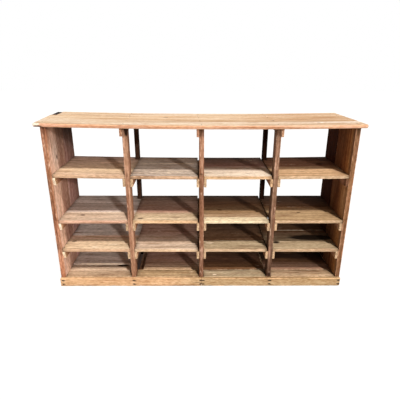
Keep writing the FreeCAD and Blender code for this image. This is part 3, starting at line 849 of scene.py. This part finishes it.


# Shelves and bottom boards. A shelf's edge is the tone of its front arris.

# A shelf darkens towards its back, and more in the right bays: painted shade over its own tone.
SHELVES = {
    "shelf_1_bay_1": dict(shades=[(-197, "linen"), (-90, "cream"), (40, "linen"), (236, "dusk")]),
    "shelf_1_bay_2": dict(
        shades=[(-197, "pewter"), (0, "pewter"), (236, "dun")],
        cracks=[seam(80, 1.5, (-401, -17), dark=0.2, pale=0.7)],
        marks=[("scuff", (-220, -110, 710), (240, 90, 30), 0.42),
               ("scuff", (-330, 60, 710), (120, 60, 30), 0.3)]),
    "shelf_1_bay_3": dict(
        edge="honey", shades=[(-197, "bone"), (-120, "bone"), (20, "plum"), (236, "flint")]),
    "shelf_1_bay_4": dict(
        edge="tan", shades=[(-197, "honey"), (-60, "honey"), (20, "brick"), (236, "cocoa")],
        knots=[((743, 53, 710), 13)]),
    "shelf_2_bay_1": dict(
        edge="rose", shades=[(-197, "flax"), (-73, "flax"), (-68, "silver"), (236, "ash")],
        cracks=[seam(-70, 1.5, (-838, -429), dark=0.3, pale=0.8)], knots=[((-717, -112, 434), 9)]),
    "shelf_2_bay_2": dict(
        edge="honey", shades=[(-197, "wheat"), (-110, "wheat"), (-60, "mauve"), (236, "slate")],
        knots=[((-361, -165, 434), 10)]),
    "shelf_2_bay_3": dict(
        edge="ivory", shades=[(-197, "ivory"), (-147, "ivory"), (-144, "tan"), (-60, "drift"),
                              (60, "umber"), (236, "flint")],
        knots=[((120, -30, 434), 9)]),
    "shelf_2_bay_4": dict(
        edge="tan", shades=[(-197, "hemp"), (-60, "hemp"), (20, "tobacco"), (26, "umber"),
                            (236, "flint")],
        cracks=[seam(24, 1.2, (437, 838), dark=0.3, pale=0.2)], knots=[((607, -73, 434), 8)]),
    "shelf_3_bay_1": dict(
        shades=[(-197, "cream"), (-100, "cream"), (-10, "rose"), (-5, "ash"), (236, "ash")],
        cracks=[seam(-10, 1.2, (-838, -429), dark=0.3, pale=0.6)], knots=[((-796, -93, 246), 10)],
        marks=[("scuff", (-646, -172, 246), (30, 12, 10), 0.8),
               ("scuff", (-540, -135, 246), (45, 10, 10), 0.8)]),
    "shelf_3_bay_2": dict(
        edge="tan", shades=[(-197, "flax"), (-110, "flax"), (40, "mauve"), (236, "mauve")]),
    "shelf_3_bay_3": dict(
        edge="tan", shades=[(-197, "barley"), (-85, "barley"), (-82, "fawn"), (236, "coffee")],
        cracks=[seam(-84, 1.5, (18, 409))],
        marks=[("scuff", (51, -116, 246), (30, 10, 10), 0.7)]),
    "shelf_3_bay_4": dict(
        edge="tan", shades=[(-197, "barley"), (-110, "barley"), (60, "umber"), (236, "coffee")],
        cracks=[seam(68, 1.2, (480, 838), dark=0.2, pale=0.7)],
        # Two dark patches: a wide one mid-bay and a small one just right of post 3.
        marks=[("stain", (712, -45, 246), (130, 38, 20), 1.3),
               ("stain", (476, -109, 246), (26, 24, 20), 0.9)]),
}
# A tongue's end laps this much further on to its cleat, so that no light shows under it.
TONGUE_LAP = 3.0 * MM
for number, (node, look) in enumerate(SHELVES.items()):
    low, high = corners(node)
    tongue = tongue_of(node)
    if tongue:
        (high if tongue[0] > 0 else low)[X] += TONGUE_LAP * tongue[0]
    edge = look.pop("edge", "blush")
    look["shades"] = [(-204, edge), (-201, edge)] + look["shades"]
    dents = grain_streaks(node, Z, 1, seed=300 + number, count=22, kinds=DENTED, along=X, width=DENT_WIDTHS)
    look["marks"] = look.get("marks", []) + dents
    board_piece(node, [worn_solid(low, high, LENGTHWISE, seed=40 + number, tongue=tongue, round=0.8,
                                  front_round=2.5, chip=0.4, wear=0.4, grime=SHELF_DIRT_AND_SHADE, **look)],
                "pine_shelves")

# The back boards of bays 2 to 4 darken towards the back: painted shade over their own tone.
BOTTOMS = {
    "bottom_front_1": [(-204, "tan"), (-54, "flax")],
    "bottom_back_1": [(-54, "silver"), (236, "ash")],
    "bottom_front_2": [(-204, "hemp"), (-118, "hemp")],
    "bottom_back_2": [(-118, "tan"), (0, "mauve"), (236, "plum")],
    "bottom_front_3": [(-204, "barley"), (-54, "barley")],
    "bottom_back_3": [(-54, "umber"), (10, "cocoa"), (236, "peat")],
    "bottom_front_4": [(-204, "tan"), (-54, "tan")],
    "bottom_back_4": [(-54, "hazel"), (-15, "umber"), (25, "peat"), (120, "soot"), (236, "soot")],
}
BOTTOM_MARKS = {
    # A painted shadow at the right of bay 1, by the seam.
    "bottom_front_1": [("stain", (-505, -66, 56), (42, 14, 20), 1.1)],
    # A painted highlight along the raised front arris of bay 1's back board.
    "bottom_back_1": [("scuff", (-640, -53, 62), (170, 6, 9), 1.3)],
    "bottom_front_3": [("scuff", (88, -181, 56), (14, 6, 8), 1.2)],
}
for number, (node, shades) in enumerate(BOTTOMS.items()):
    dents = grain_streaks(node, Z, 1, seed=330 + number, count=12, kinds=DENTED, along=X, width=DENT_WIDTHS)
    board_piece(node, [worn_solid(*corners(node), LENGTHWISE, seed=60 + number, tongue=tongue_of(node),
                                  shades=shades, marks=BOTTOM_MARKS.get(node, []) + dents, round=1.5,
                                  wear=0.5, bow=0.4, grime=SHELF_DIRT_AND_SHADE)], "pine_shelves")


# Plinth, cleats and bearers

NAIL_PLACES = nail_columns("plinth_nails")
# The left plinth board has split in from its right end.
SPLIT = dict(across=23, width=3, depth=2.5, span=(-60, 3.5), face=-1, trail=1)
for number, (node, cracks) in enumerate((("plinth_left", [SPLIT]), ("plinth_right", []))):
    low, high = corners(node)
    # Iron stain runs a little to the right of each nail.
    rust = [("stain", (x / MM + 5, low[Y] / MM, z / MM), (12, 6, 5), 1.1) for x, z in NAIL_PLACES]
    board_piece(node, [worn_solid(low, high, PLINTHWISE, seed=71 + number, fade=X, cracks=cracks, round=3,
                                  marks=rust, grime=PLINTH_DIRT_AND_SHADE,
                                  shades=[(-866, "oat"), (-200, "oat"), (20, "sisal"), (866, "sisal")])],
                "pine_plinth")

# The cleats of the left side have slant-cut front ends: how far they lean back and from what height.
NOSE = (0.012, 0.034)
STRIPS = sorted(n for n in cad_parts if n.startswith(("cleat", "top_cleat")))
for number, node in enumerate(STRIPS):
    look = dict(wear=0.4, front_wear=0.1)
    fresh, behind = "tan", "amber"
    if "left" in node:
        look.update(front_wear=0.5, nose=NOSE)
        fresh = "bone"
    elif node == "cleat_right_shelf_1":
        look.update(wear=0)
        fresh, behind = "cocoa", "umber"
    elif node.startswith("top"):
        fresh = "salmon"
    # Behind its fresh front end a cleat darkens towards the back: painted shade.
    shades = [(-202, fresh), (-195, behind), (-160, "russet"), (-80, "cocoa"), (236, "coffee")]
    board_piece(node, [worn_solid(low, high, FRONT_TO_BACK, seed=100 + 2 * number + place, shades=shades,
                                  round=1.2, chip=1.5, end=0.1, rim=4, **look)
                       for place, (low, high) in enumerate(strips_in(node))], "pine_cleats")

for number, node in enumerate(sorted(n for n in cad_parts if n.startswith("bearer"))):
    board_piece(node, [worn_solid(low, high, BEARERWISE, seed=180 + 2 * number + place, wear=0, rim=4,
                                  shades=[(-204, "fawn"), (236, "slate")])
                       for place, (low, high) in enumerate(strips_in(node))], "pine_cleats")


# Nails

UP, FORWARD = (0.0, 0.0, 1.0), (0.0, -1.0, 0.0)
# How far the middle of a head is sunk into the wood.
NAIL_SINK = 0.0002
# A shank's thickness as a share of its head's, and its tip.
SHANK_SHARE = 0.42
SHANK_TIP = 0.2 * MM
NAIL_SIZES = (("Head Radius", "NodeSocketFloat", 3.5 * MM), ("Head Rise", "NodeSocketFloat", 1.2 * MM),
              ("Shank Length", "NodeSocketFloat", 38.0 * MM), ("Size Spread", "NodeSocketFloat", 0.15),
              ("Seed", "NodeSocketInt", 1))
FLAT_HEAD = {"Head Rise": 0.8 * MM}
SMALL_HEAD = {"Head Radius": 3.0 * MM, **FLAT_HEAD}
SHORT_NAIL = {"Shank Length": 30.0 * MM, **SMALL_HEAD}


def nail_tree(iron):
    """A Geometry Nodes tree that drives a domed wire nail in at every point, turned to the point's facing."""
    tree = bpy.data.node_groups.new("driven_nails", "GeometryNodeTree")
    tree.interface.new_socket("Geometry", in_out="INPUT", socket_type="NodeSocketGeometry")
    for label, kind, value in NAIL_SIZES:
        tree.interface.new_socket(label, in_out="INPUT", socket_type=kind).default_value = value
    tree.interface.new_socket("Geometry", in_out="OUTPUT", socket_type="NodeSocketGeometry")
    given = tree.nodes.new("NodeGroupInput").outputs
    radius, length, spread = given["Head Radius"], given["Shank Length"], given["Size Spread"]
    ball = add(tree, "GeometryNodeMeshUVSphere", {"Segments": 10, "Rings": 6, "Radius": 1.0}, out="Mesh")
    head_size = add(tree, "ShaderNodeCombineXYZ", {"X": radius, "Y": radius, "Z": given["Head Rise"]})
    head = add(tree, "GeometryNodeTransform", {"Geometry": ball, "Scale": head_size})
    shank_radius = add(tree, "ShaderNodeMath", {0: radius, 1: SHANK_SHARE}, operation="MULTIPLY")
    shank = add(tree, "GeometryNodeMeshCone", {"Vertices": 8, "Radius Top": shank_radius,
                                               "Radius Bottom": SHANK_TIP, "Depth": length}, out="Mesh")
    depth = add(tree, "ShaderNodeMath", {0: length, 1: -1.0}, operation="MULTIPLY")
    lower = add(tree, "ShaderNodeCombineXYZ", {"Z": depth})
    driven = add(tree, "GeometryNodeTransform", {"Geometry": shank, "Translation": lower})
    join = tree.nodes.new("GeometryNodeJoinGeometry")
    for part in (driven, head):
        tree.links.new(part, join.inputs[0])
    facing = add(tree, "GeometryNodeInputNamedAttribute", {"Name": "facing"}, out="Attribute",
                 data_type="FLOAT_VECTOR")
    turn = add(tree, "FunctionNodeAlignRotationToVector", {"Vector": facing}, axis="Z")
    small = add(tree, "ShaderNodeMath", {0: 1.0, 1: spread}, operation="SUBTRACT")
    large = add(tree, "ShaderNodeMath", {0: 1.0, 1: spread}, operation="ADD")
    size = add(tree, "FunctionNodeRandomValue", {2: small, 3: large, "Seed": given["Seed"]}, out=1,
               data_type="FLOAT")
    nails = add(tree, "GeometryNodeInstanceOnPoints", {
        "Points": given["Geometry"], "Instance": join.outputs[0], "Rotation": turn, "Scale": size})
    real = add(tree, "GeometryNodeRealizeInstances", {"Geometry": nails})
    dressed = add(tree, "GeometryNodeSetMaterial", {"Geometry": real, "Material": iron})
    tree.links.new(dressed, tree.nodes.new("NodeGroupOutput").inputs["Geometry"])
    return tree


NAILS = nail_tree(FINISHES["rusty_nail_iron"])


def drive_nails(name, places, seed, replaced=(), **sizes):
    """Drives a nail at each place, given as a point and the way its head looks, and makes them one mesh."""
    points = np.array([p for p, _ in places], float)
    points = settle(skew(points) if name == "top_nails_driven" else points)
    mesh = bpy.data.meshes.new(name)
    mesh.from_pydata(points.tolist(), [], [])
    facing = np.array([f for _, f in places], np.float32)
    mesh.attributes.new("facing", "FLOAT_VECTOR", "POINT").data.foreach_set("vector", facing.ravel())
    piece = bpy.data.objects.new(name, mesh)
    bpy.context.scene.collection.objects.link(piece)
    modifier = piece.modifiers.new("driven_nails", "NODES")
    modifier.node_group = NAILS
    wanted = {"Seed": seed, **sizes}
    for item in NAILS.interface.items_tree:
        if item.in_out == "INPUT" and item.name in wanted:
            modifier[item.identifier] = wanted[item.name]
    bpy.context.view_layer.update()
    solid = bpy.data.meshes.new_from_object(piece.evaluated_get(bpy.context.evaluated_depsgraph_get()))
    piece.modifiers.remove(modifier)
    piece.data = solid
    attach(piece, "root")
    if replaced:
        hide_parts(*replaced)


# Nails are never quite in line: how far a hand strays, by the room that the nail has.
hands = np.random.RandomState(5)
STRAY, STRAY_AT_END, STRAY_BETWEEN, STRAY_IN_CLEAT = 0.005, 0.002, 0.012, 0.008


def stray(place, reach):
    """Where a nail meant for this place along one axis goes in."""
    return place + hands.uniform(-reach, reach)


front_of_plinth = corners("plinth_left")[0][Y]
plinth_nails = [((x, front_of_plinth + NAIL_SINK, z), FORWARD) for x, z in NAIL_PLACES]
drive_nails("plinth_nails_driven", plinth_nails, seed=3, replaced=["plinth_nails"])

# The top is nailed down to the sides and posts, in rows from front to back.
NAILED_UPRIGHTS = (-0.852, -0.415, 0.004, 0.423, 0.852)
TOP_ROWS = (-0.188, -0.062, 0.062, 0.118, 0.212)
TOP_FACE = 1.0
top_nails = [((stray(x, STRAY), stray(y, STRAY_BETWEEN), TOP_FACE - NAIL_SINK), UP)
             for x in NAILED_UPRIGHTS for y in TOP_ROWS]
drive_nails("top_nails_driven", top_nails, seed=4, **FLAT_HEAD)

# A shelf's nails go down into its cleats, close to its two ends.
SHELF_ROWS = (-0.178, 0.012, 0.196)
FROM_LEFT_END, FROM_RIGHT_END = 0.008, 0.006
shelf_nails = []
for node in SHELVES:
    low, high = corners(node)
    tongue = tongue_of(node)
    left = tongue[1] if tongue and tongue[0] < 0 else low[X]
    right = tongue[1] if tongue and tongue[0] > 0 else high[X]
    shelf_nails += [((stray(x, STRAY_AT_END), stray(y, STRAY_BETWEEN), high[Z] - NAIL_SINK), UP)
                    for x in (left + FROM_LEFT_END, right - FROM_RIGHT_END) for y in SHELF_ROWS]
drive_nails("shelf_nails_driven", shelf_nails, seed=6, **SMALL_HEAD)

# A cleat's nails go in from the bay, towards the side or post that carries it.
NAILED_FROM_LEFT = ("cleat_right", "top_cleat_1", "top_cleat_2")
CLEAT_ROWS = (-0.166, 0.208)
strip_nails = []
for node in STRIPS:
    strips = strips_in(node)
    for place, (low, high) in enumerate(strips):
        from_left = node.startswith(NAILED_FROM_LEFT) or (len(strips) > 1 and place == 0)
        face, outward = (low[X] + NAIL_SINK, -1.0) if from_left else (high[X] - NAIL_SINK, 1.0)
        middle = (low[Z] + high[Z]) / 2
        strip_nails += [((face, stray(y, STRAY_BETWEEN), stray(middle, STRAY_IN_CLEAT)), (outward, 0.0, 0.0))
                        for y in CLEAT_ROWS]
drive_nails("cleat_nails_driven", strip_nails, seed=7, **SHORT_NAIL)


# Floor, light and camera

def seen_white(tree):
    """Where a surface shows as plain white: to the camera, and in what is polished or clear."""
    seen = add(tree, "ShaderNodeLightPath", out="Is Camera Ray")
    rays = seen.node.outputs
    mirrored = add(tree, "ShaderNodeMath", {0: rays["Is Glossy Ray"], 1: rays["Is Transmission Ray"]},
                   operation="MAXIMUM")
    return add(tree, "ShaderNodeMath", {0: seen, 1: mirrored}, operation="MAXIMUM")


FLOOR_REACH = 14.0
FLOOR_CORNERS = [(x * FLOOR_REACH, y * FLOOR_REACH, 0.0) for x, y in ((-1, -1), (1, -1), (1, 1), (-1, 1))]
floor_mesh = bpy.data.meshes.new("studio_floor")
floor_mesh.from_pydata(FLOOR_CORNERS, [], [(0, 1, 2, 3)])
floor = bpy.data.objects.new("studio_floor", floor_mesh)
bpy.context.scene.collection.objects.link(floor)
# Pale studio paper: shown nearly white, with a faint shadow kept where the cabinet stands.
paper, paper_tree, paper_surface = new_material("white_studio_paper")
plain = add(paper_tree, "ShaderNodeBsdfDiffuse", {"Color": colour("#c4c4c4")})
shadowed = add(paper_tree, "ShaderNodeBsdfDiffuse", {"Color": colour("#7c7c7c")})
# No white glow under the cabinet, only a faint pink-brown one: painted shade, so bottom gaps stay dark.
UNDER_MIDDLE = (0.0, 0.05, 0.0)
spot_on_floor = add(paper_tree, "ShaderNodeTexCoord", out="Object")
shifted = add(paper_tree, "ShaderNodeVectorMath", {0: spot_on_floor, 1: UNDER_MIDDLE}, operation="SUBTRACT")
from_middle = add(paper_tree, "ShaderNodeVectorMath", {0: shifted}, operation="ABSOLUTE")
past_ends, past_depth = [
    add(paper_tree, "ShaderNodeMapRange", {
        "Value": add(paper_tree, "ShaderNodeSeparateXYZ", {0: from_middle}, out=axis),
        "From Min": start, "From Max": stop})
    for axis, start, stop in (("X", 0.83, 0.86), ("Y", 0.235, 0.255))]
clear = add(paper_tree, "ShaderNodeMath", {0: past_ends, 1: past_depth}, operation="MAXIMUM")
strength = add(paper_tree, "ShaderNodeMapRange", {"Value": clear, "To Min": 0.03, "To Max": 0.86})
white_and_painted_shade = add(paper_tree, "ShaderNodeMix", {"Factor": clear, MIX_A: colour("#f0c4b4"), MIX_B: WHITE}, **COLOURS)
glow = add(paper_tree, "ShaderNodeEmission", {"Color": white_and_painted_shade, "Strength": strength})
white = add(paper_tree, "ShaderNodeAddShader", {0: shadowed, 1: glow})
paper_mix = add(paper_tree, "ShaderNodeMixShader", {0: seen_white(paper_tree), 1: plain, 2: white})
paper_tree.links.new(paper_mix, paper_surface)
floor_mesh.materials.append(paper)
floor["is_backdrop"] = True

world = bpy.data.worlds.new("soft_room")
world.use_nodes = True
sky = world.node_tree
sky.nodes.clear()
room_light = add(sky, "ShaderNodeBackground", {"Color": colour("#fffaf6"), "Strength": 0.13})
backdrop = add(sky, "ShaderNodeBackground", {"Color": WHITE, "Strength": 1.0})
sky_mix = add(sky, "ShaderNodeMixShader", {0: seen_white(sky), 1: room_light, 2: backdrop})
sky.links.new(sky_mix, sky.nodes.new("ShaderNodeOutputWorld").inputs["Surface"])
bpy.context.scene.world = world


def lamp(name, azimuth, height, spread, level, tint):
    """A lamp far off, by its bearing to the right of the front, its height and its spread in degrees.

    Level 1 lights a facing white card to plain white.
    """
    light = bpy.data.lights.new(name, "SUN")
    light.angle = math.radians(spread)
    light.color = colour(tint)[:3]
    light.energy = level * math.pi
    holder = bpy.data.objects.new(name, light)
    bearing, lift = math.radians(azimuth), math.radians(height)
    flat = math.cos(lift)
    towards = Vector((math.sin(bearing) * flat, -math.cos(bearing) * flat, math.sin(lift)))
    holder.rotation_euler = towards.to_track_quat("Z", "Y").to_euler()
    bpy.context.scene.collection.objects.link(holder)


lamp("overhead_lamp", 20.0, 56.0, 3.0, 0.84, "#fff6eb")
lamp("front_lamp", 27.0, 20.0, 4.0, 0.57, "#fff9f4")
lamp("side_softbox", 58.0, 18.0, 50.0, 0.2, "#fff2ea")
lamp("left_fill", -50.0, 15.0, 60.0, 0.06, "#fff2e6")
lamp("rear_fill", 175.0, 6.0, 30.0, 0.08, "#fff6ee")

# The camera, fitted to the photo's edges: its focal length in pixels of the frame, its place and its turns.
FRAME_SIZE = 400.0
FOCAL_LENGTH = 380.27
SENSOR = 36.0
CAMERA_PLACE = (-0.0215, -2.2546, 1.3315)
pitch, yaw, roll = math.radians(20.494), math.radians(0.465), math.radians(0.16)
camera_data = bpy.data.cameras.new("photo_camera")
camera_data.sensor_width = SENSOR
camera_data.lens = SENSOR * FOCAL_LENGTH / FRAME_SIZE
camera = bpy.data.objects.new("photo_camera", camera_data)
ahead = Vector((math.sin(yaw) * math.cos(pitch), math.cos(yaw) * math.cos(pitch), -math.sin(pitch)))
level_right = Vector((math.cos(yaw), -math.sin(yaw), 0.0))
level_up = level_right.cross(ahead)
right = level_right * math.cos(roll) + level_up * math.sin(roll)
up = level_up * math.cos(roll) - level_right * math.sin(roll)
turn = Matrix((right, up, -ahead)).transposed().to_4x4()
camera.matrix_world = Matrix.Translation(CAMERA_PLACE) @ turn
bpy.context.scene.collection.objects.link(camera)
bpy.context.scene.camera = camera
bpy.context.scene.view_settings.view_transform = "Standard"

low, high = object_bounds()
